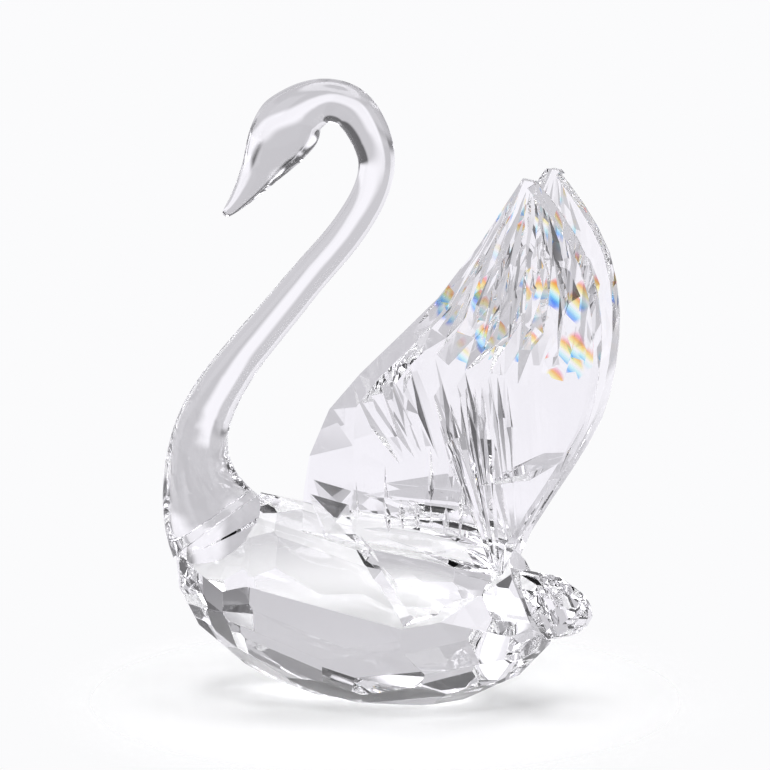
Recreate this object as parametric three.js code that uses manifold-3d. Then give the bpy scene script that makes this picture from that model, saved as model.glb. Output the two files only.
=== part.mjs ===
// Crystal swan figurine: five pieces of clear crystal bonded together.
// Millimetres, +Z up, the head towards -X, the swan's left side towards -Y.
import * as THREE from 'three';
import { ConvexGeometry } from 'three/addons/geometries/ConvexGeometry.js';
import { mergeVertices } from 'three/addons/utils/BufferGeometryUtils.js';
import Module from 'manifold-3d';

// Driving dimensions, common to all pieces
const BOND = 0.3; // film of clear adhesive between two pieces
const BLOCK = 260; // edge of a grinding block, larger than the figurine
const WELD = 1e-4; // vertices closer than this are one vertex
const SLIVER = 0.01; // edges shorter than this are closed up

// Neck and head: stations along the centre line, from the beak's tip to the breast.
// at: [x, z] of the centre, deep: half depth seen from the side, wide: half width seen from above
const NECK_STATIONS = [
  { at: [-29.5, 85.5], deep: 0.7, wide: 0.9 },
  { at: [-26.3, 89.0], deep: 1.9, wide: 1.7 },
  { at: [-23.0, 93.5], deep: 3.5, wide: 2.7 },
  { at: [-19.9, 98.4], deep: 5.5, wide: 4.1 },
  { at: [-17.4, 101.9], deep: 6.0, wide: 4.7 },
  { at: [-14.4, 104.9], deep: 4.7, wide: 4.5 },
  { at: [-10.4, 106.3], deep: 3.9, wide: 4.0 },
  { at: [-6.0, 105.0], deep: 3.8, wide: 3.8 },
  { at: [-2.8, 100.6], deep: 3.6, wide: 3.6 },
  { at: [-1.5, 95.8], deep: 3.25, wide: 3.3 },
  { at: [-2.6, 90.5], deep: 3.15, wide: 3.2 },
  { at: [-7.0, 83.2], deep: 3.2, wide: 3.2 },
  { at: [-14.0, 75.1], deep: 3.3, wide: 3.3 },
  { at: [-20.4, 67.4], deep: 3.5, wide: 3.5 },
  { at: [-26.0, 60.8], deep: 3.75, wide: 3.75 },
  { at: [-30.6, 54.4], deep: 4.25, wide: 4.25 },
  { at: [-33.6, 48.4], deep: 4.8, wide: 4.8 },
  { at: [-34.8, 42.6], deep: 5.6, wide: 5.5 },
  { at: [-34.4, 37.2], deep: 7.0, wide: 6.9 },
  { at: [-32.8, 32.2], deep: 8.8, wide: 8.6 },
  { at: [-30.4, 28.0], deep: 10.2, wide: 10.0 },
  { at: [-28.0, 25.0], deep: 11.0, wide: 10.8 },
];
const NECK_SIDES = 24;
const RINGS_PER_STATION = 4;

// Plane where the breast is bonded to the body
const BREAST_BOND = { x: -31.6, z: 29.3, lean: 38 }; // lean in degrees, forward from straight up

// Body: a boat with a pitched girdle, ground as tiers of facets
const BODY_CENTRE = { x: -3.5, z: 18.3 };
const BODY_PITCH = 8.5; // degrees, nose up
const GIRDLE = { half_length: 35, half_width: 18.5, band: 1.7 }; // the walls rise above it by the band
const HULL_DEPTH = 19.3; // girdle to keel, before the foot is ground flat
const REAR_LIFT = 3.2; // how far the hull rises towards the tail
const SEAT_SLOPE = 35; // degrees, the two roof facets that carry the wings
const RIDGE_HEIGHT = 14.4; // girdle to the flat on the roof ridge
// Facets round the stone: plan angles from the tail, both sides alike, and the dip below the girdle
const CROWN_FACETS = [
  { turn: 22, slope: 54 }, { turn: 56, slope: 60 }, { turn: 90, slope: SEAT_SLOPE },
  { turn: 124, slope: 47 }, { turn: 150, slope: 47 }, { turn: 174, slope: 47 },
];
const HULL_TIERS = [
  { dip: 12, turns: [14, 38, 62, 94, 132, 156, 180] },
  { dip: 34, turns: [0, 26, 54, 84, 99, 128, 152, 172] },
  { dip: 54, turns: [13, 38, 66, 92, 116, 140, 180] },
  { dip: 72, turns: [20, 56, 86, 116, 150] },
];

// Collar: concave fillet on the body that runs up to the breast
const COLLAR = { neck_radius: 10.5, foot_radius: 13.5, height: 9, depth: 14, steps: 10, sides: 40 };

// Tail: a short faceted point on the rear of the body
const TAIL_BOND = { x: 27.7, z: 18.2, lean: -64.5 };
const TAIL = { length: 9.9, half_height: 5.5, half_width: 5.2, droop: 9 };
const TAIL_TIERS = [
  { rise: 0, count: 10, turn: 18 },
  { rise: 24, count: 10, turn: 0 },
  { rise: 46, count: 10, turn: 18 },
  { rise: 68, count: 5, turn: 0 },
];

// Wings. Left wing stations, root to tip: [x, z] of the front edge on the inner face, the first below the
// seat, and of the ridge on the outer face
const WING_FRONT = [
  [-15.6, 20.0], [-13.7, 30.4], [-13.2, 37.6], [-12.1, 44.1], [-8.3, 52.7],
  [-2.6, 59.3], [5.4, 67.1], [11.6, 73.2], [19.3, 83.3], [24.2, 90.6], [27.8, 96.0],
];
const WING_RIDGE = [
  [-2.6, 31.3], [-3.1, 38.4], [-3.0, 47.0], [-2.3, 54.0],
  [1.9, 59.3], [8.8, 66.2], [14.9, 72.0], [22.1, 82.1], [25.7, 89.9], [28.5, 96.4],
];
// Points on the seat: the foot of the ridge, the toe on the girdle and the heel. A narrow strip runs from
// the foot to the toe, below the end of the ridge, and a cut across the seat from the toe to the heel
const WING_FOOT = [-3.5, -7.3, 28.0];
const WING_TOE = [7.7, -20.0, 17.3];
const WING_HEEL = [21.8, -11.0, 21.6];
const TOE_RIDGE = [
  [-2.6, 31.3], [0.3, 28.8], [2.7, 25.6], [5.5, 22.7], [8.1, 20.5], [10.6, 18.6], [13.0, 17.0],
];
const TOE_RUN_ON = 1.2; // the strip is ground past the toe, in lengths of the strip
const HEEL_CUT_HEIGHT = 6;
const WING_REAR = [
  [29.2, 93.9], [33.7, 88.3], [38.4, 80.0], [40.4, 70.0], [39.9, 60.4],
  [37.6, 50.8], [32.2, 41.1], [25.2, 30.0], [21.3, 20.8],
];
const WING_TIP = { x: 27.8, z: 94.3, slope: 9 }; // small flat that ends the tip, degrees down to the rear
const WING_BOTTOM = 8; // the outline runs down to here and the seat on the body ends it
const WING_INNER = { gap: 6.0, from_z: 33, lean: 0.05 }; // y of the inner face: gap + lean per mm of height
const WING_OUTER = { y: 6.33, per_x: 0.0675, per_z: 0.0796 }; // outer face, closing on the inner at the rear
// Concave sweep out to the toe on the girdle, an arc in degrees, dying away from the toe past the heel
const FLARE = { radius: 21, from_z: 38, arc: 83, steps: 16, toe_x: 9, heel_x: 37, runs: 52 };
const REAR_BEVEL = { width: 1.4, edge: 0.4, steps: 2 }; // ground along the rear edge of the outer face
// Which way and how far the blocks that grind each band leave the stone
const AWAY = {
  front: [-30, -60, 30], toe: [-40, -8, 0], toe_ridge: [-20, -30, 10], heel: [9, -14, 0], rear: [40, -40, 0],
};
// Feather facets in the inner face: fields of columns that fan out from a root, with rows across them, and
// every second column ground deeper. Turns in degrees from +X, radii from the root, depths as shares of the
// wing's thickness. From one column on, the rows alternate as well
const FEATHER_FIELDS = [
  {
    root: [28.2, 97.5], turns: [236, 290], radii: [5, 38], columns: 14, rows: 7,
    depths: [0.06, 0.55], broken_from: 5,
  },
  {
    root: [22.6, 21.0], turns: [92, 111], radii: [3, 39], columns: 6, rows: 3,
    depths: [0.02, 0.62], broken_from: 7,
  },
  {
    root: [22.6, 21.0], turns: [111.5, 129], radii: [27, 43], columns: 6, rows: 2,
    depths: [0.02, 0.28], broken_from: 7,
  },
];
const FEATHER_SCATTER = { turn: 0.22, radius: 0.28, depth: 0.3 }; // shares of a column, a row and the depth
const NOISE = { column: 12.9898, row: 78.233, kind: 37.719, gain: 43758.5453 }; // a steep, fast wave
const FEATHER_TAPER = 1.2; // how soon the depth is full, from the root to the end of a field
const FEATHER_CLEAR = { border: 0.05, above: 1.5 }; // room between the face and the block that grinds it

const CRYSTAL_COLOUR = 0xf4f6f8;
const CRYSTAL_ROUGHNESS = 0.02;

const wasm = await Module();
wasm.setup();
const UP = new THREE.Vector3(0, 0, 1);
const radians = THREE.MathUtils.degToRad;
const point = (x, y, z) => new THREE.Vector3(x, y, z);

// A closed three.js geometry as a solid that can be cut and joined
function solidOf(geometry) {
  const bare = geometry.clone();
  bare.deleteAttribute('normal');
  bare.deleteAttribute('uv');
  const merged = mergeVertices(bare, WELD);
  return new wasm.Manifold(new wasm.Mesh({
    numProp: 3,
    vertProperties: new Float32Array(merged.attributes.position.array),
    triVerts: new Uint32Array(merged.index.array),
  }));
}

// A solid back as a three.js geometry, without the slivers that cuts through one corner leave
function geometryOf(solid) {
  const bodies = solid.simplify(SLIVER).decompose();
  const larger = (one, other) => (other.volume() > one.volume() ? other : one);
  const mesh = bodies.reduce(larger).getMesh();
  const geometry = new THREE.BufferGeometry();
  geometry.setAttribute('position', new THREE.BufferAttribute(mesh.vertProperties, 3));
  geometry.setIndex(new THREE.BufferAttribute(mesh.triVerts, 1));
  geometry.computeVertexNormals();
  return geometry;
}

// The block that lies beyond a plane
function beyond({ normal, through }) {
  const block = new THREE.BoxGeometry(BLOCK, BLOCK, BLOCK);
  block.translate(0, 0, BLOCK / 2);
  block.applyQuaternion(new THREE.Quaternion().setFromUnitVectors(UP, normal.clone().normalize()));
  block.translate(through.x, through.y, through.z);
  return solidOf(block);
}

// Grinds a list of flat facets, one plane each
const grind = (solid, planes) => planes.reduce((stone, plane) => stone.subtract(beyond(plane)), solid);

// A plane moved along its own normal
const offset = ({ normal, through }, distance) => ({
  normal,
  through: through.clone().addScaledVector(normal.clone().normalize(), distance),
});

// The same plane seen from its other side
const flipped = ({ normal, through }) => ({ normal: normal.clone().negate(), through });

// A plane across the middle of the swan, leaning forward from straight up by an angle
const bondPlane = ({ x, z, lean }) => ({
  normal: point(-Math.sin(radians(lean)), 0, Math.cos(radians(lean))),
  through: point(x, 0, z),
});

// Plan angles of one side, with those of the other side
const bothSides = (turns) => turns.flatMap((turn) => (turn % 180 === 0 ? [turn] : [turn, -turn]));

const breastBond = bondPlane(BREAST_BOND);
const tailBond = bondPlane(TAIL_BOND);

// Neck and head: a closed cylinder carried along the centre line
function neckAndHead() {
  const spine = new THREE.CatmullRomCurve3(NECK_STATIONS.map(({ at }) => point(at[0], 0, at[1])));
  const girth = new THREE.CatmullRomCurve3(NECK_STATIONS.map(({ deep, wide }) => point(deep, wide, 0)));
  const rings = (NECK_STATIONS.length - 1) * RINGS_PER_STATION;
  const geometry = new THREE.CylinderGeometry(1, 1, 1, NECK_SIDES, rings);
  const across = point(0, 1, 0);
  const place = geometry.attributes.position;
  for (let i = 0; i < place.count; i += 1) {
    const along = THREE.MathUtils.clamp(0.5 - place.getY(i), 0, 1);
    const size = girth.getPoint(along);
    const outward = across.clone().cross(spine.getTangent(along));
    const moved = spine.getPoint(along)
      .addScaledVector(outward, size.x * place.getX(i))
      .addScaledVector(across, size.y * place.getZ(i));
    place.setXYZ(i, moved.x, moved.y, moved.z);
  }
  return grind(solidOf(geometry), [flipped(offset(breastBond, BOND / 2))]);
}

// Body frame: girdle plane level, tail towards +X
const bodyFrame = new THREE.Matrix4().makeRotationY(radians(BODY_PITCH));
bodyFrame.setPosition(BODY_CENTRE.x, 0, BODY_CENTRE.z);

const placedOnBody = (normal, through) => ({
  normal: normal.clone().transformDirection(bodyFrame),
  through: through.clone().applyMatrix4(bodyFrame),
});

// Upper facet at a plan angle: it rises at a slope from the top of the girdle's walls
function crownPlane(turn, slope) {
  const angle = radians(turn);
  const { half_length: a, half_width: b } = GIRDLE;
  const reach = Math.hypot(a * Math.cos(angle), b * Math.sin(angle));
  const through = point(a * a * Math.cos(angle) / reach, b * b * Math.sin(angle) / reach, GIRDLE.band);
  const side = Math.sin(radians(slope));
  const normal = point(Math.cos(angle) * side, Math.sin(angle) * side, Math.cos(radians(slope)));
  return placedOnBody(normal, through);
}

// Hull facet at a plan angle and a dip below the girdle, touching a half ellipsoid
function hullPlane(turn, dip) {
  const angle = radians(turn);
  const flat = Math.cos(radians(dip));
  const normal = point(Math.cos(angle) * flat, Math.sin(angle) * flat, -Math.sin(radians(dip)));
  const axes = point(GIRDLE.half_length, GIRDLE.half_width, HULL_DEPTH);
  const lift = REAR_LIFT * Math.max(0, normal.x) * -normal.z;
  const reach = normal.clone().multiply(axes).length() - lift;
  return placedOnBody(normal, normal.clone().multiplyScalar(reach));
}

const leftSeat = crownPlane(-90, SEAT_SLOPE);

function collar() {
  const { neck_radius: top, foot_radius: foot, height, depth, steps, sides } = COLLAR;
  const profile = [new THREE.Vector2(0, -depth), new THREE.Vector2(foot, -depth)];
  for (let i = steps; i >= 0; i -= 1) {
    const angle = (i / steps) * (Math.PI / 2);
    profile.push(new THREE.Vector2(foot - (foot - top) * Math.cos(angle), -height * Math.sin(angle)));
  }
  profile.push(new THREE.Vector2(0, 0));
  const geometry = new THREE.LatheGeometry(profile, sides);
  geometry.applyQuaternion(new THREE.Quaternion().setFromUnitVectors(point(0, 1, 0), breastBond.normal));
  geometry.translate(breastBond.through.x, 0, breastBond.through.z);
  return solidOf(geometry);
}

function body() {
  const rough = solidOf(new THREE.BoxGeometry(BLOCK / 2, BLOCK / 2, BLOCK / 2));
  const crown = CROWN_FACETS.flatMap(({ turn, slope }) =>
    bothSides([turn]).map((side) => crownPlane(side, slope)));
  const ridge = placedOnBody(UP, point(0, 0, RIDGE_HEIGHT));
  const hull = HULL_TIERS.flatMap(({ dip, turns }) => bothSides(turns).map((turn) => hullPlane(turn, dip)));
  const foot = { normal: point(0, 0, -1), through: point(0, 0, 0) };
  const ends = [offset(breastBond, -BOND / 2), offset(tailBond, -BOND / 2), foot];
  return grind(grind(rough, [...crown, ridge]).add(collar()), [...hull, ...ends]);
}

// Tail: tiers of facets round an axis that runs back and slightly down
function tail() {
  const rough = new THREE.BoxGeometry(BLOCK / 4, BLOCK / 4, BLOCK / 4);
  rough.translate(TAIL_BOND.x, 0, TAIL_BOND.z);
  const axes = point(TAIL.length, TAIL.half_width, TAIL.half_height);
  const turnDown = new THREE.Quaternion().setFromAxisAngle(point(0, 1, 0), radians(TAIL.droop));
  const facets = TAIL_TIERS.flatMap(({ rise, count, turn }) => Array.from({ length: count }, (_, i) => {
    const angle = radians(turn) + (2 * Math.PI * i) / count;
    const flat = Math.cos(radians(rise));
    const normal = point(Math.sin(radians(rise)), flat * Math.cos(angle), flat * Math.sin(angle));
    const reach = normal.clone().multiply(axes).length();
    normal.applyQuaternion(turnDown);
    return { normal, through: point(TAIL_BOND.x, 0, TAIL_BOND.z).addScaledVector(normal, reach) };
  }));
  return grind(solidOf(rough), [...facets, flipped(offset(tailBond, BOND / 2))]);
}

const innerY = (z) => -(WING_INNER.gap + WING_INNER.lean * Math.max(z - WING_INNER.from_z, 0));
const outerY = (x, z) => -WING_OUTER.y + WING_OUTER.per_x * x - WING_OUTER.per_z * z;
const flareY = (x, z) => {
  const sine = THREE.MathUtils.clamp((FLARE.from_z - z) / FLARE.radius, 0, 1);
  const share = THREE.MathUtils.clamp((FLARE.heel_x - x) / (FLARE.heel_x - FLARE.toe_x), 0, 1);
  return share * FLARE.radius * (1 - Math.sqrt(1 - sine ** 2));
};
const wingOuterY = (x, z) => outerY(x, z) - flareY(x, z);

// Plane through three points, with its normal on the side of a fourth
function planeThrough(a, b, c, outside) {
  const normal = b.clone().sub(a).cross(c.clone().sub(a)).normalize();
  if (normal.dot(outside.clone().sub(a)) < 0) {
    normal.negate();
  }
  return { normal, through: a };
}

// Rear edge of the wing, tip to heel
const rearLine = new THREE.SplineCurve(WING_REAR.map(([x, z]) => new THREE.Vector2(x, z)))
  .getPoints((WING_REAR.length - 1) * REAR_BEVEL.steps);

// Side outline of the wing, as a slab from the middle of the swan outwards
function wingSlab() {
  const outline = new THREE.Shape();
  outline.moveTo(WING_FRONT[0][0], WING_BOTTOM);
  WING_FRONT.forEach(([x, z]) => outline.lineTo(x, z));
  rearLine.forEach(({ x, y }) => outline.lineTo(x, y));
  outline.lineTo(WING_REAR.at(-1)[0], WING_BOTTOM);
  const slab = new THREE.ExtrudeGeometry(outline, { depth: BLOCK / 8, bevelEnabled: false });
  slab.rotateX(Math.PI / 2);
  return solidOf(slab);
}

// What lies outside the wing's outer face: straight above, swept out below
function outsideSweep() {
  const far = -BLOCK / 4;
  const profile = new THREE.Shape();
  profile.moveTo(0, BLOCK / 2);
  let z = FLARE.from_z;
  for (let i = 0; i <= FLARE.steps; i += 1) {
    z = FLARE.from_z - FLARE.radius * Math.sin(radians(FLARE.arc) * (i / FLARE.steps));
    profile.lineTo(0, z);
  }
  profile.lineTo(far, z);
  profile.lineTo(far, BLOCK / 2);
  const sweep = new THREE.ExtrudeGeometry(profile, {
    depth: BLOCK / 2, steps: FLARE.runs, bevelEnabled: false,
  });
  sweep.translate(0, 0, -BLOCK / 4);
  const place = sweep.attributes.position;
  for (let i = 0; i < place.count; i += 1) {
    const [out, height, x] = [place.getX(i), place.getY(i), place.getZ(i)];
    place.setXYZ(i, x, out < 0 ? out : wingOuterY(x, height), height);
  }
  return solidOf(sweep);
}

// Block that grinds one facet between four corners, swept away from the stone
function facetBlock(corners, ...aways) {
  const swept = aways.flatMap((away) => corners.map((corner) => corner.clone().add(away)));
  return solidOf(new ConvexGeometry([...corners, ...swept]));
}

// Blocks that grind a band of facets between an edge and a ridge, one between each two stations
const bandBlocks = (edge, ridge, ...aways) => edge.slice(1).map((_, i) =>
  facetBlock([edge[i], edge[i + 1], ridge[i + 1], ridge[i]], ...aways));

const onOuterFace = ([x, z]) => point(x, wingOuterY(x, z), z);

// Broad band along the front of the wing
function frontBand() {
  const edge = WING_FRONT.map(([x, z]) => point(x, innerY(z), z));
  const ridge = [point(...WING_FOOT), ...WING_RIDGE.map(onOuterFace)];
  return bandBlocks(edge, ridge, point(...AWAY.front));
}

// Strip from the foot to the toe, and the cut from the toe to the heel
function toeCuts() {
  const [foot, toe, heel] = [WING_FOOT, WING_TOE, WING_HEEL].map((at) => point(...at));
  const step = TOE_RUN_ON / (TOE_RIDGE.length - 1);
  const seatLine = TOE_RIDGE.map((_, i) => foot.clone().lerp(toe, i * step));
  const lift = leftSeat.normal.clone().setLength(HEEL_CUT_HEIGHT);
  const end = [toe, heel].flatMap((at) => [at.clone().add(lift), at.clone().sub(lift)]);
  return [
    ...bandBlocks(seatLine, TOE_RIDGE.map(onOuterFace), point(...AWAY.toe), point(...AWAY.toe_ridge)),
    facetBlock(end, point(...AWAY.heel)),
  ];
}

// Narrow bevel along the rear edge of the outer face
function rearBevel() {
  const edge = rearLine.map(({ x, y: z }) => point(x, innerY(z) - REAR_BEVEL.edge, z));
  const ridge = rearLine.map(({ x, y: z }, i) => {
    const before = rearLine[Math.max(i - 1, 0)];
    const after = rearLine[Math.min(i + 1, rearLine.length - 1)];
    const run = after.clone().sub(before).setLength(REAR_BEVEL.width);
    return point(x + run.y, wingOuterY(x + run.y, z - run.x), z - run.x);
  });
  return bandBlocks(edge, ridge, point(...AWAY.rear));
}

// Point on the inner face, at a radius and a turn from a fan's root
function fanSpot({ root: [x, z] }, radius, turn) {
  const height = z + radius * Math.sin(radians(turn));
  return point(x + radius * Math.cos(radians(turn)), innerY(height), height);
}

// x of a row of stations at a height
function stationX(stations, height) {
  const above = stations.findIndex(([, z]) => z > height);
  const next = above < 0 ? stations.length - 1 : Math.max(above, 1);
  const [[x0, z0], [x1, z1]] = [stations[next - 1], stations[next]];
  return THREE.MathUtils.mapLinear(height, z0, z1, x0, x1);
}

// Thickness of the wing, from nothing at the front edge to the full thickness at the ridge
function wingThickness(x, z) {
  const [edge, ridge] = [stationX(WING_FRONT, z), stationX(WING_RIDGE, z)];
  return (innerY(z) - wingOuterY(x, z)) * THREE.MathUtils.clamp((x - edge) / (ridge - edge), 0, 1);
}

// Steady scatter between -1 and 1 for a node of a lattice
function scatter(column, row, kind) {
  const wave = NOISE.gain * Math.sin(column * NOISE.column + row * NOISE.row + kind * NOISE.kind);
  return 2 * (wave - Math.floor(wave)) - 1;
}

// Node of a feather field: its place on the inner face and how deep it is ground
function featherNode(field, column, row) {
  const { turns, radii, columns, rows, depths, broken_from: brokenFrom } = field;
  const across = (column + FEATHER_SCATTER.turn * scatter(column, row, 1)) / columns;
  const along = (row + FEATHER_SCATTER.radius * scatter(column, row, 2)) / rows;
  const radius = THREE.MathUtils.lerp(...radii, along);
  const spot = fanSpot(field, radius, THREE.MathUtils.lerp(...turns, across));
  if (column % columns === 0 || row % rows === 0) {
    return { spot, depth: -FEATHER_CLEAR.border };
  }
  const alternate = (column < brokenFrom ? column : column + row) % 2;
  const share = depths[alternate] * (1 + FEATHER_SCATTER.depth * scatter(column, row, 3));
  const taper = Math.min(1, FEATHER_TAPER * radius / radii[1]);
  return { spot, depth: share * taper * wingThickness(spot.x, spot.z) };
}

// Block that grinds one field of feather facets
function featherBlock(field) {
  const { columns, rows } = field;
  const block = new THREE.BoxGeometry(columns, rows, 1, columns, rows, 1);
  const place = block.attributes.position;
  for (let i = 0; i < place.count; i += 1) {
    const column = Math.round(place.getX(i) + columns / 2);
    const row = Math.round(place.getY(i) + rows / 2);
    const { spot, depth } = featherNode(field, column, row);
    place.setXYZ(i, spot.x, spot.y + (place.getZ(i) < 0 ? -depth : FEATHER_CLEAR.above), spot.z);
  }
  return solidOf(block);
}

function leftWing() {
  const top = point(0, innerY(BLOCK), BLOCK);
  const low = point(0, innerY(WING_INNER.from_z), WING_INNER.from_z);
  const inner = planeThrough(low, top, point(BLOCK, low.y, low.z), point(0, BLOCK, 0));
  const slope = radians(WING_TIP.slope);
  const tip = {
    normal: point(Math.sin(slope), 0, Math.cos(slope)),
    through: point(WING_TIP.x, 0, WING_TIP.z),
  };
  const flats = [inner, tip, flipped(offset(leftSeat, BOND))];
  const feathers = FEATHER_FIELDS.map(featherBlock);
  const cutters = [outsideSweep(), ...frontBand(), ...toeCuts(), ...rearBevel(), ...feathers];
  return cutters.reduce((stone, cutter) => stone.subtract(cutter), grind(wingSlab(), flats));
}

// The other wing is its mirror image
function mirroredAcross(geometry) {
  const copy = geometry.clone();
  copy.scale(1, -1, 1);
  const index = copy.index;
  for (let i = 0; i < index.count; i += 3) {
    const second = index.getX(i + 1);
    index.setX(i + 1, index.getX(i + 2));
    index.setX(i + 2, second);
  }
  return copy;
}

function crystalPiece(name, geometry) {
  const material = new THREE.MeshStandardMaterial({
    color: CRYSTAL_COLOUR, roughness: CRYSTAL_ROUGHNESS, metalness: 0, flatShading: true,
  });
  const mesh = new THREE.Mesh(geometry, material);
  mesh.name = name;
  return mesh;
}

const wingGeometry = geometryOf(leftWing());
const swan = new THREE.Group();
swan.add(crystalPiece('neck_and_head', geometryOf(neckAndHead())));
swan.add(crystalPiece('body', geometryOf(body())));
swan.add(crystalPiece('wing_left', wingGeometry));
swan.add(crystalPiece('wing_right', mirroredAcross(wingGeometry)));
swan.add(crystalPiece('tail', geometryOf(tail())));

export default swan;
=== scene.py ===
"""Crystal swan figurine: five bonded pieces of clear crystal on a pale floor, in soft studio light."""
from contextlib import contextmanager
from math import atan2, cos, pi, radians, sin
from random import Random

import bmesh
import bpy
from bpy.props import FloatProperty, FloatVectorProperty, IntProperty, PointerProperty
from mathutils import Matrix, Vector
from mathutils.bvhtree import BVHTree
from mathutils.geometry import tessellate_polygon


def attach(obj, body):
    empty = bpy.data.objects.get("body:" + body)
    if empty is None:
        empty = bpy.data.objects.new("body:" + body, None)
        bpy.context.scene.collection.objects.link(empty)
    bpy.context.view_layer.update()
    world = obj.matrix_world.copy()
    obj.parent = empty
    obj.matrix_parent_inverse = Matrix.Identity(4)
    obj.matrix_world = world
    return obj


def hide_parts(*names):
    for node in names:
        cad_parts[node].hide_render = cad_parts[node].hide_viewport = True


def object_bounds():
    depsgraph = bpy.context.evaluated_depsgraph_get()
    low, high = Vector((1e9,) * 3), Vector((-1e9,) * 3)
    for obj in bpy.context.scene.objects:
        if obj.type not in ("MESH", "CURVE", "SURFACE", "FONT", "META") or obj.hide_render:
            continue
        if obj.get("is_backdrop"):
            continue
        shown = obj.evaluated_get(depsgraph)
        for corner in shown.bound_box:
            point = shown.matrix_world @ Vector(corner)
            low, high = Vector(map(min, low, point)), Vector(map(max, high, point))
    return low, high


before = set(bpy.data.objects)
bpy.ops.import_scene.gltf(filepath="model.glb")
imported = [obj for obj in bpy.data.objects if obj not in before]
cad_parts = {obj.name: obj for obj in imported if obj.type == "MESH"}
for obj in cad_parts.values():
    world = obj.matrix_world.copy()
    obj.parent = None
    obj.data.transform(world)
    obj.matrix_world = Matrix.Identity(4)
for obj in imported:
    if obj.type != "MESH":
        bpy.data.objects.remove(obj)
CAD_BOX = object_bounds()

bl_info = {
    "name": "Crystal swan",
    "version": (1, 0, 0),
    "blender": (4, 5, 0),
    "location": "3D View > Sidebar > Swan",
    "description": "Finishes the pieces of a crystal swan and sets up its studio",
    "category": "Object",
}

MM = 0.001
BODY = "root"
MERGE = 0.004 * MM  # corners closer than this are one corner
FLAT_ANGLE = radians(0.4)  # faces that meet at less than this are one flat facet
FACING = 0.6  # a face looks a given way if the cosine between them is above this
EDGE_ROOM = 4  # an edge is polished only where every edge at its ends is this many widths long
SLIM = radians(15)  # and no facet there has a sharper corner than this

# Materials of a piece, by their place: crystal comes first
GLUE_SLOT = 1
# the slot of crystal with painted rainbow glints in its tint
PAINTED_FIRE_SLOT = 2
FENCE_SLOT = 2  # only a mark, on faces that are taken away again

# Smooth neck
QUAD_BEND = radians(60)  # two triangles that bend less than this become one face
QUAD_SKEW = radians(80)  # if the corners of that face are no further off square
RIM_ANGLE = radians(50)  # the rim is where faces meet at more than this
RIM_SEGMENTS = 3
NECK_SMOOTH = radians(40)  # faces that meet at less than this run on smoothly

# Pieces that are glued to the body, with the way that each glued face looks
GLUED = {
    "neck_and_head": Vector((0.6, 0, -0.8)),
    "wing_left": Vector((0, 0, -1)),
    "wing_right": Vector((0, 0, -1)),
    "tail": Vector((-1, 0, 0)),
}
BOND = 0.3 * MM  # room for the glue between the solids
BOND_FILM = 0.02 * MM  # what is left of it once a piece is set down
BOND_EDGE = {"neck_and_head": 0.6 * MM, "tail": 0.5 * MM}  # the glue ends this far inside the face's edge
BOND_LEVEL = 2 * BOND  # a face of the body this near to a glued face lies under it
FENCE = 1.0 * MM  # reach of the outline that is cut into the body, to both sides

# Fine cuts in the inner faces of the wings, millimetres in the side view, x and z. Leaves spread as fans
# from a root, over some degrees, each from one distance to another. Single cuts run between two ends: two
# broad ones above the seat, one across the front band, a wedge above the heel, and two along the rear edge
LEAF_FANS = (
    {"root": (22.6, 21.0), "turns": (93, 111), "from": (9, 20), "to": (30, 38), "count": 7},
    {"root": (10.0, -30.0), "turns": (84, 98), "from": (57, 62), "to": (66, 78), "count": 6},
    {"root": (28.2, 97.5), "turns": (240, 286), "from": (9, 20), "to": (20, 33), "count": 11},
)
LEAF_SIZE = {"width": 1.3, "depth": 1.0}
SINGLE_CUTS = (
    {"ends": ((-3.0, 31.5), (19.5, 29.5)), "width": 6.5, "depth": 0.9},
    {"ends": ((-2.5, 38.0), (17.0, 36.5)), "width": 6.5, "depth": 0.9},
    {"ends": ((-12.2, 37.5), (-3.0, 29.8)), "width": 8.0, "depth": 2.2},
    {"ends": ((19.0, 40.5), (33.0, 45.0)), "width": 3.0, "depth": 0.9},
    {"ends": ((37.7, 53.2), (32.6, 42.7)), "width": 0.9, "depth": 0.9},
    {"ends": ((31.8, 41.8), (23.9, 28.9)), "width": 0.9, "depth": 0.9},
)
# Grooves in the outer faces, along the rear of the front band and the strip that sweeps down to the toe
STRIP_CUTS = (
    {"ends": ((-2.7, 41.5), (-2.2, 31.5)), "width": 0.8, "depth": 0.5},
    {"ends": ((-2.2, 31.5), (2.2, 26.6)), "width": 0.9, "depth": 0.7},
    {"ends": ((2.2, 26.6), (6.6, 22.3)), "width": 0.9, "depth": 0.7},
)
LEAF_SEED = 5  # for the ends of the leaves
LEAF_BROAD = 0.6  # where along its length a leaf is broadest
LEAF_REST = 0.55  # the most of the wing's thickness that a leaf takes
LEAF_LIFT = 0.05 * MM  # the cutter's rim stands this much off the face
LEAF_TOP = 1.0 * MM  # and its top this much
ASIDE = 50 * MM  # well outside the wings

# Floor and camera
FLOOR_CORNERS = 96
FLOOR_FADE = 0.4  # share of the floor's radius where it begins to fade
FLOOR_ROUGHNESS = 0.6
FLOOR_GLOSS = 0.1
SENSOR_WIDTH = 36  # millimetres
LIGHT_BOUNCES = 32  # light passes through many facets

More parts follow.
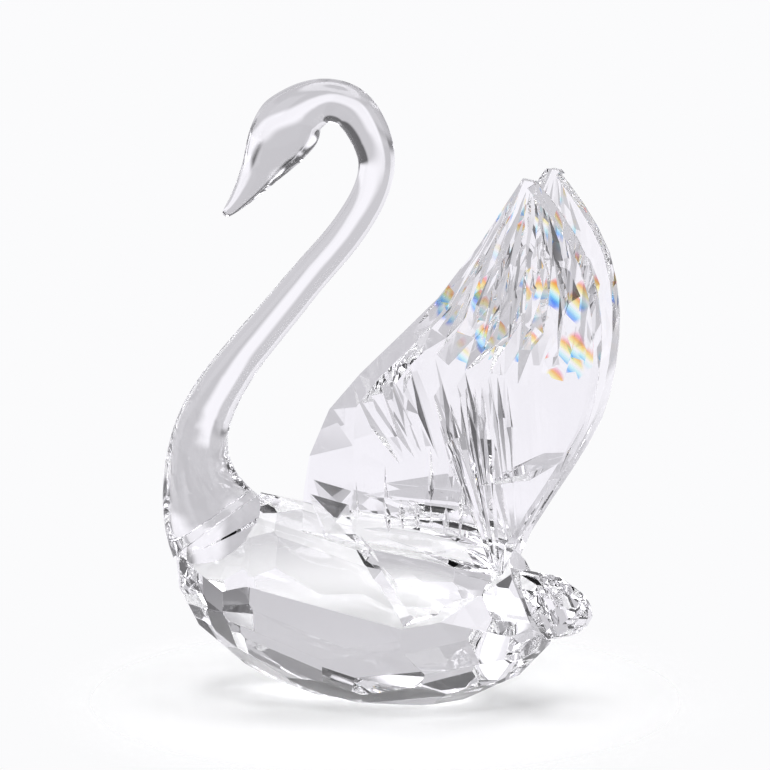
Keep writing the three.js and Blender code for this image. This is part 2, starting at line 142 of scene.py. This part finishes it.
# Light in the studio: the dark room, and what stands in it. Degrees: turn is 0 beyond the swan's right side
# and grows towards its tail, rise is above the floor, soft is the width of a panel's blurred edge
STUDIO_WHITE = (1.0, 0.986, 1.036, 1)  # the light is faintly lavender
SEEN_WHITE = (0.965, 0.965, 0.975, 1)  # what the eye sees behind the swan
ROOM_LIGHT = 0.1
ALL_ROUND = 400  # more than a full turn, so that a panel has no ends
STUDIO_PANELS = (
    {"turn": 0, "width": ALL_ROUND, "rise": -56, "height": 84, "soft": 7, "light": 0.6},  # ground
    {"turn": -25, "width": 52, "rise": 9, "height": 32, "soft": 7, "light": 0.6},  # backdrop on the right
    {"turn": 4, "width": 72, "rise": -9.5, "height": 9, "soft": 6, "light": 0.98},  # and its bright foot
    {"turn": 165, "width": 60, "rise": 9, "height": 32, "soft": 7, "light": 0.4},  # the same on the left
    {"turn": 176, "width": 90, "rise": -9.5, "height": 9, "soft": 6, "light": 0.7},
    {"turn": 16, "width": 18, "rise": 49, "height": 16, "soft": 6, "light": 0.45},  # high above the backdrop
    {"turn": -85, "width": 56, "rise": 16, "height": 40, "soft": 6, "light": 0.9},  # before the breast
    {"turn": -130, "width": 30, "rise": 30, "height": 26, "soft": 8, "light": 1.4},  # and to its left
    {"turn": 99, "width": 52, "rise": 27, "height": 30, "soft": 6, "light": 1.0},  # beyond the tail
    {"turn": 0, "width": ALL_ROUND, "rise": 90, "height": 56, "soft": 8, "light": 3.7},  # ring overhead
    {"turn": 0, "width": ALL_ROUND, "rise": 90, "height": 20, "soft": 6, "light": 0.3},  # and its middle
)

# Layers of finer noise in the waves of the polish and in the clouds of tint
WAVE_DETAIL = 0.0
CLOUD_DETAIL = 1.0

# Painted rainbow glints: colours painted into the crystal's tint in spots, from one side of a spot to the
# other, in place of light that facets break up
PAINTED_FIRE = (
    (0.0, (0.1, 0.06, 1.0)), (0.22, (0.06, 0.35, 1.0)), (0.38, (0.45, 1.0, 1.0)), (0.5, (1.0, 1.0, 1.0)),
    (0.62, (1.0, 0.9, 0.2)), (0.78, (1.0, 0.3, 0.02)), (1.0, (1.0, 0.08, 0.4)),
)
PAINTED_FIRE_MIDDLE = 0.5  # the place of white among them
PAINTED_FIRE_WAY = (0.45, 0.2, 0.87)  # the way from one side of a spot to the other
PAINTED_FIRE_FROM = 60 * MM  # height on the wings where the painted glints begin
PAINTED_FIRE_FACET = 14 * MM * MM  # and the largest facet that gets them
PAINTED_FIRE_STRETCH = (1, 1, 0.6)  # the spots are taller than wide
PAINTED_FIRE_EDGE = 0.62, 0.4  # a spot fades between these shares of its size


class CrystalSettings(bpy.types.PropertyGroup):
    """Sizes and finish of the crystal"""
    ior: FloatProperty(
        name="Refraction", description="Index of refraction of the crystal", default=1.55, min=1.0, max=2.5)
    tint: FloatVectorProperty(
        name="Tint", description="Colour of the crystal", subtype="COLOR", size=3,
        default=(0.998, 0.996, 1.0))
    deep_tint: FloatVectorProperty(
        name="Deep tint", description="Colour of its faint clouds", subtype="COLOR", size=3,
        default=(0.986, 0.983, 0.994))
    cloud: FloatProperty(name="Cloud", description="Size of the clouds", unit="LENGTH", default=14 * MM)
    wave: FloatProperty(
        name="Wave", description="Length of the waves that polishing leaves", unit="LENGTH", default=5 * MM)
    cut_wave: FloatProperty(
        name="Cut wave", description="Height of the waves on cut facets", unit="LENGTH", default=0.001 * MM)
    neck_wave: FloatProperty(
        name="Neck wave", description="Height of the waves on the smooth neck", unit="LENGTH",
        default=0.002 * MM)
    # Size and share of the spots of painted rainbow glints, colour painted into the crystal's tint
    painted_fire_size: FloatProperty(
        name="Fire", description="Size of the spots of broken light", unit="LENGTH", default=3.2 * MM)
    painted_fire_share: FloatProperty(
        name="Fire share", description="Share of the spots that are coloured", default=0.34, min=0, max=1)
    rim: FloatProperty(
        name="Rim", description="Width of the rounded rim at the foot of the neck", unit="LENGTH",
        default=0.5 * MM)
    edge: FloatProperty(
        name="Edge", description="Width of the polish along the facets' edges", unit="LENGTH",
        default=0.2 * MM)
    edge_angle: FloatProperty(
        name="Edge angle", description="Facets that meet at more than this have a polished edge",
        subtype="ANGLE", default=radians(6.5))
    collar_angle: FloatProperty(
        name="Collar angle", description="The same on the body, where the collar's faces run on smoothly",
        subtype="ANGLE", default=radians(11))
    neck_levels: IntProperty(
        name="Neck levels", description="Subdivisions of the smooth neck", default=2, min=0, max=3)


class StageSettings(bpy.types.PropertyGroup):
    """Floor, light and camera"""
    floor_radius: FloatProperty(
        name="Floor", description="Radius of the floor", unit="LENGTH", default=66 * MM)
    floor_colour: FloatVectorProperty(
        name="Floor colour", description="Colour of the floor", subtype="COLOR", size=3,
        default=(0.925, 0.94, 0.905))
    light: FloatProperty(name="Light", description="Strength of the studio's light", default=1.0)
    azimuth: FloatProperty(
        name="Azimuth", description="Turn of the camera towards the tail", subtype="ANGLE",
        default=radians(15))
    elevation: FloatProperty(
        name="Elevation", description="Height angle of the camera", subtype="ANGLE", default=radians(9))
    distance: FloatProperty(
        name="Distance", description="Camera to the middle of the swan", unit="LENGTH",
        default=600 * MM)
    aim_height: FloatProperty(
        name="Aim", description="Height that the camera looks at", unit="LENGTH", default=56.3 * MM)
    lens: FloatProperty(name="Lens", description="Focal length in millimetres", default=158.876)


class Value:
    """A number in a shader: arithmetic on it adds Math nodes."""

    def __init__(self, nodes, socket):
        self.nodes = nodes
        self.socket = socket

    def math(self, operation, *others):
        """This number and others in a Math node."""
        values = {i: other for i, other in enumerate((self, *others))}
        return self.nodes.add("ShaderNodeMath", {"operation": operation}, values)

    def __add__(self, other):
        return self.math("ADD", other)

    def __mul__(self, other):
        return self.math("MULTIPLY", other)

    def __sub__(self, other):
        return self.math("SUBTRACT", other)

    def __rsub__(self, other):
        return self.nodes.add("ShaderNodeMath", {"operation": "SUBTRACT"}, {0: other, 1: self})

    __radd__ = __add__
    __rmul__ = __mul__

    def output(self, name):
        """Another output of the same node."""
        return Value(self.nodes, self.socket.node.outputs[name])

    def ramp(self, stops):
        """Colours along this number, between 0 and 1."""
        ramp = self.nodes.add("ShaderNodeValToRGB", values={0: self})
        elements = ramp.socket.node.color_ramp.elements
        while len(elements) < len(stops):
            elements.new(1.0)
        for element, (place, colour) in zip(elements, stops):
            element.position = place
            element.color = (*colour, 1)
        return ramp

    def between(self, one, other):
        """Mix of two colours by this number."""
        return self.nodes.add(
            "ShaderNodeMix", {"data_type": "RGBA"}, {"Factor": self, "A_Color": one, "B_Color": other},
            output="Result_Color")


class Nodes:
    """The node tree of a material or of the world, emptied and built up again."""

    def __init__(self, tree):
        self.tree = tree
        self.tree.nodes.clear()

    def add(self, kind, settings=None, values=None, output=0):
        """A node with its settings, and with the values or links of its sockets."""
        node = self.tree.nodes.new(kind)
        for name, setting in (settings or {}).items():
            setattr(node, name, setting)
        for name, value in (values or {}).items():
            socket = self.find(node.inputs, name)
            if isinstance(value, Value):
                self.tree.links.new(value.socket, socket)
            else:
                socket.default_value = value
        return Value(self, self.find(node.outputs, output)) if node.outputs else node

    @staticmethod
    def find(sockets, name):
        """A socket by its place, its name or its identifier."""
        for socket in sockets:
            if socket.identifier == name:
                return socket
        return sockets[name]


def select_only(piece):
    """Selects one object and makes it the active one."""
    bpy.ops.object.select_all(action="DESELECT")
    piece.select_set(True)
    bpy.context.view_layer.objects.active = piece


@contextmanager
def editing(piece):
    """Edit mode on one piece."""
    select_only(piece)
    bpy.ops.object.mode_set(mode="EDIT")
    yield
    bpy.ops.object.mode_set(mode="OBJECT")


@contextmanager
def shaping(piece):
    """The faces and edges of a piece, to be marked one by one."""
    mesh = bmesh.new()
    mesh.from_mesh(piece.data)
    yield mesh
    mesh.to_mesh(piece.data)
    mesh.free()


def new_mesh(name, corners, faces):
    """A new object made of these corners and faces."""
    mesh = bpy.data.meshes.new(name)
    mesh.from_pydata(corners, [], faces)
    made = bpy.data.objects.new(name, mesh)
    bpy.context.scene.collection.objects.link(made)
    return made


def copy_of_node(node, name):
    """A copy of a solid as a new piece, its loose triangles merged and each flat facet made one face."""
    piece = bpy.data.objects.new(name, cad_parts[node].data.copy())
    bpy.context.scene.collection.objects.link(piece)
    piece.data.materials.clear()
    select_only(piece)
    bpy.ops.mesh.customdata_custom_splitnormals_clear()
    with editing(piece):
        bpy.ops.mesh.select_all(action="SELECT")
        bpy.ops.mesh.remove_doubles(threshold=MERGE)
        bpy.ops.mesh.dissolve_limited(angle_limit=FLAT_ANGLE)
    bpy.ops.object.shade_flat()
    return piece


def apply_modifier(piece, kind, **settings):
    """Adds a modifier to a piece and applies it."""
    modifier = piece.modifiers.new(kind.title(), kind)
    for name, setting in settings.items():
        setattr(modifier, name, setting)
    select_only(piece)
    bpy.ops.object.modifier_apply(modifier=modifier.name)


def mark_edges(piece, crystal, smooth_angle):
    """Marks the edges to polish: two facets meet there, and nothing at its ends is too short or slim."""
    room = EDGE_ROOM * crystal.edge
    with shaping(piece) as mesh:
        weights = mesh.edges.layers.float.new("bevel_weight_edge")
        for edge in mesh.edges:
            near = {other for corner in edge.verts for other in corner.link_edges}
            wide = min(loop.calc_angle() for corner in edge.verts for loop in corner.link_loops) > SLIM
            long = min(other.calc_length() for other in near) > room
            edge[weights] = float(edge.calc_face_angle() > smooth_angle and wide and long)


def polish_edges(piece, crystal, smooth_angle):
    """A narrow polish along the facets' edges; faces that meet at less than the angle run on smoothly."""
    mark_edges(piece, crystal, smooth_angle)
    apply_modifier(
        piece, "BEVEL", width=crystal.edge, segments=1, limit_method="WEIGHT", use_clamp_overlap=True,
        miter_outer="MITER_SHARP")
    select_only(piece)
    bpy.ops.object.shade_smooth_by_angle(angle=smooth_angle)
    apply_modifier(piece, "WEIGHTED_NORMAL", mode="FACE_AREA", keep_sharp=True)


def fan_of_leaves(fan, draw):
    """The leaves of a fan as single cuts, each in the middle of its share of the turn."""
    first, last = fan["turns"]
    for number in range(fan["count"]):
        turn = radians(first + (last - first) * (number + 0.5) / fan["count"])
        reach = [draw.uniform(*fan[end]) for end in ("from", "to")]
        ends = [[fan["root"][0] + cos(turn) * far, fan["root"][1] + sin(turn) * far] for far in reach]
        yield {"ends": ends, **LEAF_SIZE}


def leaf_cutter(surface, cut, into):
    """Corners of a slim body with eight faces that makes one cut in a face of a wing."""
    start, end = (Vector((x, 0, z)) * MM - into * ASIDE for x, z in cut["ends"])
    broad = start.lerp(end, LEAF_BROAD)
    side = (end - start).normalized().cross(into) * cut["width"] * MM / 2
    rim = [surface.ray_cast(spot, into)[0] for spot in (start, broad + side, end, broad - side)]
    near = surface.ray_cast(broad, into)[0]
    far = surface.ray_cast(broad + 2 * into * ASIDE, -into)[0]
    depth = min(cut["depth"] * MM, LEAF_REST * (far - near).length)
    return [*(corner - into * LEAF_LIFT for corner in rim), near + into * depth, near - into * LEAF_TOP]


def cut_leaves(piece, inward):
    """Makes the fine cuts in the faces of a wing."""
    mesh = piece.data
    surface = BVHTree.FromPolygons(
        [corner.co for corner in mesh.vertices], [face.vertices for face in mesh.polygons])
    draw = Random(LEAF_SEED)
    leaves = [leaf for fan in LEAF_FANS for leaf in fan_of_leaves(fan, draw)]
    outward = Vector((0, -inward, 0))
    cuts = [(cut, outward) for cut in (*SINGLE_CUTS, *leaves)] + [(cut, -outward) for cut in STRIP_CUTS]
    corners, faces = [], []
    for cut, into in cuts:
        spots = leaf_cutter(surface, cut, into)
        *rim, deep, top = range(len(corners), len(corners) + len(spots))
        corners += spots
        for one, other in zip(rim, rim[1:] + rim[:1]):
            faces += [(one, other, deep), (other, one, top)]
    cutter = new_mesh("leaves", corners, faces)
    with editing(cutter):
        bpy.ops.mesh.select_all(action="SELECT")
        bpy.ops.mesh.normals_make_consistent(inside=False)
    apply_modifier(piece, "BOOLEAN", operation="DIFFERENCE", object=cutter, solver="EXACT", use_self=True)
    bpy.data.objects.remove(cutter)


def glued_face(piece, node):
    """The largest face that looks towards the body."""
    facing = [face for face in piece.data.polygons if face.normal.dot(GLUED[node]) > FACING]
    return max(facing, key=lambda face: face.area)


def glued_middle(piece, node):
    """The part of a glued face that the glue covers, as a face of its own."""
    face = glued_face(piece, node)
    if node not in BOND_EDGE:
        return face
    glued = face.index
    with editing(piece):
        bpy.ops.mesh.select_mode(type="FACE")
        bpy.ops.mesh.select_all(action="DESELECT")
    piece.data.polygons[glued].select = True
    with editing(piece):
        bpy.ops.mesh.inset(thickness=BOND_EDGE[node], depth=0)
    return next(face for face in piece.data.polygons if face.select)


def set_down(piece, node):
    """Closes the gap to the body: the glued face moves down, and lets light through where the glue is."""
    face = glued_face(piece, node)
    shift = face.normal * (BOND - BOND_FILM)
    for corner in face.vertices:
        piece.data.vertices[corner].co += shift
    glued_middle(piece, node).material_index = GLUE_SLOT


def glued_outline(node):
    """Corners and normal of the face by which a piece is glued to the body."""
    piece = copy_of_node(node, "outline")
    face = glued_middle(piece, node)
    corners = [piece.data.vertices[corner].co.copy() for corner in face.vertices]
    normal = face.normal.copy()
    bpy.data.objects.remove(piece)
    return corners, normal


def imprint(piece, corners, normal):
    """Cuts an outline into the face below it, by a thin fence that is taken away again."""
    reach = normal * FENCE
    rim = [corner + way for way in (reach, -reach) for corner in corners]
    count = len(corners)
    walls = [(i, (i + 1) % count, count + (i + 1) % count, count + i) for i in range(count)]
    fence = new_mesh("fence", rim, walls)
    before = len(piece.data.polygons)
    select_only(piece)
    fence.select_set(True)
    bpy.ops.object.join()
    for face in piece.data.polygons:
        face.select = face.index >= before
        if face.select:
            face.material_index = FENCE_SLOT
    with editing(piece):
        bpy.ops.mesh.select_mode(type="FACE")
        bpy.ops.mesh.intersect(mode="SELECT_UNSELECT", separate_mode="NONE", solver="FAST")
    for face in piece.data.polygons:
        face.select = face.material_index == FENCE_SLOT
    with editing(piece):
        bpy.ops.mesh.delete(type="FACE")


def within_outline(spot, corners, normal):
    """Whether the corners of an outline turn once round a spot in its plane."""
    turn = 0.0
    for one, other in zip(corners, corners[1:] + corners[:1]):
        to_one, to_other = one - spot, other - spot
        turn += atan2(normal.dot(to_one.cross(to_other)), to_one.dot(to_other))
    return abs(turn) > pi


def middle_of(corners):
    """A spot well inside a flat face of any outline: the middle of its largest triangle."""
    triangles = [[corners[i] for i in triangle] for triangle in tessellate_polygon([corners])]
    largest = max(triangles, key=lambda abc: (abc[1] - abc[0]).cross(abc[2] - abc[0]).length)
    return sum(largest, Vector()) / len(largest)


def clear_bond(piece, corners, normal):
    """Lets light through the part of the body that lies under a glued piece."""
    for face in piece.data.polygons:
        outline = [piece.data.vertices[corner].co for corner in face.vertices]
        spot = middle_of(outline)
        level = abs((spot - corners[0]).dot(normal)) < BOND_LEVEL
        if level and face.normal.dot(normal) < -FACING and within_outline(spot, corners, normal):
            face.material_index = GLUE_SLOT


def new_material(name):
    """An empty material and its nodes."""
    material = bpy.data.materials.new(name)
    material.use_nodes = True
    return material, Nodes(material.node_tree)


def crystal_surface(nodes, crystal, place, colour, wave_height):
    """Clear crystal of a colour, with the slight waves that polishing leaves."""
    wave = nodes.add("ShaderNodeTexNoise", values={
        "Vector": place, "Scale": 1 / crystal.wave, "Detail": WAVE_DETAIL})
    normal = nodes.add("ShaderNodeBump", values={"Distance": wave_height, "Height": wave})
    surface = nodes.add("ShaderNodeBsdfPrincipled", values={
        "Base Color": colour, "Roughness": 0.0, "IOR": crystal.ior, "Transmission Weight": 1.0,
        "Normal": normal})
    nodes.add("ShaderNodeOutputMaterial", values={"Surface": surface})


def crystal_tint(nodes, crystal, place):
    """Faint clouds of tint in the crystal."""
    cloud = nodes.add("ShaderNodeTexNoise", values={
        "Vector": place, "Scale": 1 / crystal.cloud, "Detail": CLOUD_DETAIL})
    return cloud.between((*crystal.tint, 1), (*crystal.deep_tint, 1))


def crystal_material(name, crystal, wave_height):
    """Plain clear crystal."""
    material, nodes = new_material(name)
    place = nodes.add("ShaderNodeTexCoord", output="Object")
    crystal_surface(nodes, crystal, place, crystal_tint(nodes, crystal, place), wave_height)
    return material


def painted_fire_material(crystal):
    """Cut crystal with painted rainbow glints: spots of colour painted into its tint, each blue on one side
    and orange on the other.
    """
    material, nodes = new_material("wing_painted_fire_crystal")
    place = nodes.add("ShaderNodeTexCoord", output="Object")
    tall = nodes.add("ShaderNodeVectorMath", {"operation": "MULTIPLY"}, {0: place, 1: PAINTED_FIRE_STRETCH})
    spot = nodes.add("ShaderNodeTexVoronoi", values={"Vector": tall, "Scale": 1 / crystal.painted_fire_size})
    off = nodes.add("ShaderNodeVectorMath", {"operation": "SUBTRACT"}, {0: tall, 1: spot.output("Position")})
    along = nodes.add(
        "ShaderNodeVectorMath", {"operation": "DOT_PRODUCT"}, {0: off, 1: PAINTED_FIRE_WAY}, output="Value")
    # Painted rainbow colours across each spot, and the share of spots that get them
    painted_fire_colours = (along * (1 / crystal.painted_fire_size) + PAINTED_FIRE_MIDDLE).ramp(PAINTED_FIRE)
    chance = nodes.add("ShaderNodeSeparateColor", values={0: spot.output("Color")})
    inside = nodes.add("ShaderNodeMapRange", {"interpolation_type": "SMOOTHSTEP"}, {
        "Value": spot, "From Min": PAINTED_FIRE_EDGE[0], "From Max": PAINTED_FIRE_EDGE[1]})
    painted_fire_mask = chance.math("LESS_THAN", crystal.painted_fire_share) * inside
    colour = painted_fire_mask.between(crystal_tint(nodes, crystal, place), painted_fire_colours)
    crystal_surface(nodes, crystal, place, colour, crystal.cut_wave)
    return material


def bond_material():
    """Clear glue of the crystal's own refraction: light goes straight on."""
    material, nodes = new_material("clear_bond")
    surface = nodes.add("ShaderNodeBsdfTransparent")
    nodes.add("ShaderNodeOutputMaterial", values={"Surface": surface})
    return material


def hand_over(piece, node):
    """The piece stands for its solid and moves with it."""
    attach(piece, BODY)
    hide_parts(node)


def crease_foot(piece):
    """Keeps the flat foot of the neck sharp while the rest is rounded off."""
    with shaping(piece) as mesh:
        creases = mesh.edges.layers.float.new("crease_edge")
        foot = max(mesh.faces, key=lambda face: face.calc_area())
        flat = [face for face in mesh.faces if face.normal.dot(foot.normal) > cos(FLAT_ANGLE)]
        for edge in {edge for face in flat for edge in face.edges}:
            edge[creases] = 1.0


class SWAN_OT_neck_and_head(bpy.types.Operator):
    """Smooth neck and head"""
    bl_idname = "swan.neck_and_head"
    bl_label = "Neck and head"

    def execute(self, context):
        crystal = context.scene.swan_crystal
        piece = copy_of_node("neck_and_head", "neck_and_head_crystal")
        piece.data.materials.append(crystal_material("polished_crystal", crystal, crystal.neck_wave))
        piece.data.materials.append(bond_material())
        set_down(piece, "neck_and_head")
        with editing(piece):
            bpy.ops.mesh.select_all(action="SELECT")
            bpy.ops.mesh.tris_convert_to_quads(face_threshold=QUAD_BEND, shape_threshold=QUAD_SKEW)
        crease_foot(piece)
        apply_modifier(piece, "SUBSURF", levels=crystal.neck_levels, render_levels=crystal.neck_levels)
        apply_modifier(
            piece, "BEVEL", width=crystal.rim, segments=RIM_SEGMENTS, limit_method="ANGLE",
            angle_limit=RIM_ANGLE)
        select_only(piece)
        bpy.ops.object.shade_smooth_by_angle(angle=NECK_SMOOTH)
        hand_over(piece, "neck_and_head")
        return {"FINISHED"}


class SWAN_OT_body(bpy.types.Operator):
    """Faceted body with its smooth collar"""
    bl_idname = "swan.body"
    bl_label = "Body"

    def execute(self, context):
        crystal = context.scene.swan_crystal
        outlines = [glued_outline(node) for node in GLUED]
        piece = copy_of_node("body", "body_crystal")
        piece.data.materials.append(crystal_material("body_cut_crystal", crystal, crystal.cut_wave))
        piece.data.materials.append(bond_material())
        for outline in outlines:
            imprint(piece, *outline)
        for outline in outlines:
            clear_bond(piece, *outline)
        polish_edges(piece, crystal, crystal.collar_angle)
        hand_over(piece, "body")
        return {"FINISHED"}


class SWAN_OT_wings(bpy.types.Operator):
    """Left and right wing"""
    bl_idname = "swan.wings"
    bl_label = "Wings"

    def execute(self, context):
        crystal = context.scene.swan_crystal
        cut = crystal_material("wing_cut_crystal", crystal, crystal.cut_wave)
        materials = cut, bond_material(), painted_fire_material(crystal)
        for node, inward in (("wing_left", 1), ("wing_right", -1)):
            piece = copy_of_node(node, f"{node}_crystal")
            for material in materials:
                piece.data.materials.append(material)
            set_down(piece, node)
            cut_leaves(piece, inward)
            polish_edges(piece, crystal, crystal.edge_angle)
            # Small inner faces high on the wings get the painted rainbow glints
            for face in piece.data.polygons:
                looks_in = face.normal.y * inward > FACING
                if looks_in and face.center.z > PAINTED_FIRE_FROM and face.area < PAINTED_FIRE_FACET:
                    face.material_index = PAINTED_FIRE_SLOT
            hand_over(piece, node)
        return {"FINISHED"}


class SWAN_OT_tail(bpy.types.Operator):
    """Faceted tail point"""
    bl_idname = "swan.tail"
    bl_label = "Tail"

    def execute(self, context):
        crystal = context.scene.swan_crystal
        piece = copy_of_node("tail", "tail_crystal")
        piece.data.materials.append(crystal_material("tail_cut_crystal", crystal, crystal.cut_wave))
        piece.data.materials.append(bond_material())
        set_down(piece, "tail")
        polish_edges(piece, crystal, crystal.edge_angle)
        hand_over(piece, "tail")
        return {"FINISHED"}


def floor_material(stage):
    """Pale floor that fades out all round into the white of the studio."""
    material, nodes = new_material("floor")
    place = nodes.add("ShaderNodeTexCoord", output="Object")
    reach = nodes.add("ShaderNodeVectorMath", {"operation": "LENGTH"}, {0: place}, output="Value")
    alpha = nodes.add("ShaderNodeMapRange", {"interpolation_type": "SMOOTHSTEP"}, {
        "Value": reach, "From Min": stage.floor_radius * FLOOR_FADE, "From Max": stage.floor_radius,
        "To Min": 1.0, "To Max": 0.0})
    surface = nodes.add("ShaderNodeBsdfPrincipled", values={
        "Base Color": (*stage.floor_colour, 1), "Roughness": FLOOR_ROUGHNESS,
        "Specular IOR Level": FLOOR_GLOSS, "Alpha": alpha})
    nodes.add("ShaderNodeOutputMaterial", values={"Surface": surface})
    return material


def studio_world(stage):
    """White to the eye. The crystal sees a grey backdrop, a dark room above it, and soft boxes."""
    world = bpy.data.worlds.new("studio")
    world.use_nodes = True
    nodes = Nodes(world.node_tree)
    direction = nodes.add("ShaderNodeTexCoord", output="Generated")
    x, y, z = (nodes.add("ShaderNodeSeparateXYZ", values={0: direction}, output=axis) for axis in "XYZ")
    turn = x.math("ARCTAN2", y)
    rise = z.math("ARCSINE")

    def within(value, middle, size, soft):
        """1 inside a span of degrees, and less over its soft edge."""
        off = (value - radians(middle)).math("WRAP", pi, -pi).math("ABSOLUTE")
        return nodes.add("ShaderNodeMapRange", {"interpolation_type": "SMOOTHSTEP"}, {
            "Value": off, "From Min": radians(size / 2), "From Max": radians(size / 2 + soft),
            "To Min": 1.0, "To Max": 0.0})

    light = ROOM_LIGHT
    for panel in STUDIO_PANELS:
        share = (within(turn, panel["turn"], panel["width"], panel["soft"])
                 * within(rise, panel["rise"], panel["height"], panel["soft"]))
        light = share * panel["light"] + (1 - share) * light
    lit = nodes.add("ShaderNodeBackground", values={"Color": STUDIO_WHITE, "Strength": light * stage.light})
    seen = nodes.add("ShaderNodeBackground", values={"Color": SEEN_WHITE, "Strength": 1.0})
    camera_ray = nodes.add("ShaderNodeLightPath", output="Is Camera Ray")
    surface = nodes.add("ShaderNodeMixShader", values={0: camera_ray, 1: lit, 2: seen})
    nodes.add("ShaderNodeOutputWorld", values={"Surface": surface})
    return world


def view_direction(stage):
    """From the swan towards the camera."""
    return Vector((
        sin(stage.azimuth) * cos(stage.elevation),
        -cos(stage.azimuth) * cos(stage.elevation),
        sin(stage.elevation)))


class SWAN_OT_stage(bpy.types.Operator):
    """Pale floor, soft studio light and the camera"""
    bl_idname = "swan.stage"
    bl_label = "Stage"

    def execute(self, context):
        scene = context.scene
        stage = scene.swan_stage
        bpy.ops.object.select_all(action="DESELECT")
        bpy.ops.mesh.primitive_circle_add(
            vertices=FLOOR_CORNERS, radius=stage.floor_radius, fill_type="NGON", location=(0, 0, 0))
        floor = context.object
        floor.name = "floor"
        floor.data.materials.append(floor_material(stage))
        floor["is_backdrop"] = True
        scene.world = studio_world(stage)
        scene.view_settings.view_transform = "Standard"
        scene.cycles.max_bounces = LIGHT_BOUNCES
        scene.cycles.transmission_bounces = LIGHT_BOUNCES
        scene.cycles.glossy_bounces = LIGHT_BOUNCES
        scene.cycles.transparent_max_bounces = LIGHT_BOUNCES
        scene.cycles.blur_glossy = 0
        back = view_direction(stage)
        camera = bpy.data.objects.new("camera", bpy.data.cameras.new("camera"))
        scene.collection.objects.link(camera)
        camera.data.lens = stage.lens
        camera.data.sensor_width = SENSOR_WIDTH
        camera.location = Vector((0, 0, stage.aim_height)) + back * stage.distance
        camera.rotation_euler = (-back).to_track_quat("-Z", "Y").to_euler()
        scene.camera = camera
        return {"FINISHED"}


class SWAN_PT_panel(bpy.types.Panel):
    """Lists the pieces and the stage"""
    bl_label = "Crystal swan"
    bl_idname = "SWAN_PT_panel"
    bl_space_type = "VIEW_3D"
    bl_region_type = "UI"
    bl_category = "Swan"

    def draw(self, context):
        for group in (context.scene.swan_crystal, context.scene.swan_stage):
            for name in group.__annotations__:
                self.layout.prop(group, name)
        for operator in OPERATORS:
            self.layout.operator(operator.bl_idname)


OPERATORS = (SWAN_OT_neck_and_head, SWAN_OT_body, SWAN_OT_wings, SWAN_OT_tail, SWAN_OT_stage)
CLASSES = (CrystalSettings, StageSettings, *OPERATORS, SWAN_PT_panel)


def register():
    for cls in CLASSES:
        bpy.utils.register_class(cls)
    bpy.types.Scene.swan_crystal = PointerProperty(type=CrystalSettings)
    bpy.types.Scene.swan_stage = PointerProperty(type=StageSettings)


def unregister():
    del bpy.types.Scene.swan_stage
    del bpy.types.Scene.swan_crystal
    for cls in reversed(CLASSES):
        bpy.utils.unregister_class(cls)


def main():
    register()
    bpy.ops.swan.neck_and_head()
    bpy.ops.swan.body()
    bpy.ops.swan.wings()
    bpy.ops.swan.tail()
    bpy.ops.swan.stage()
    boxes = {"cad": CAD_BOX, "visual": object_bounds()}
    {name: [list(corner) for corner in box] for name, box in boxes.items()}


if __name__ == "__main__":
    main()
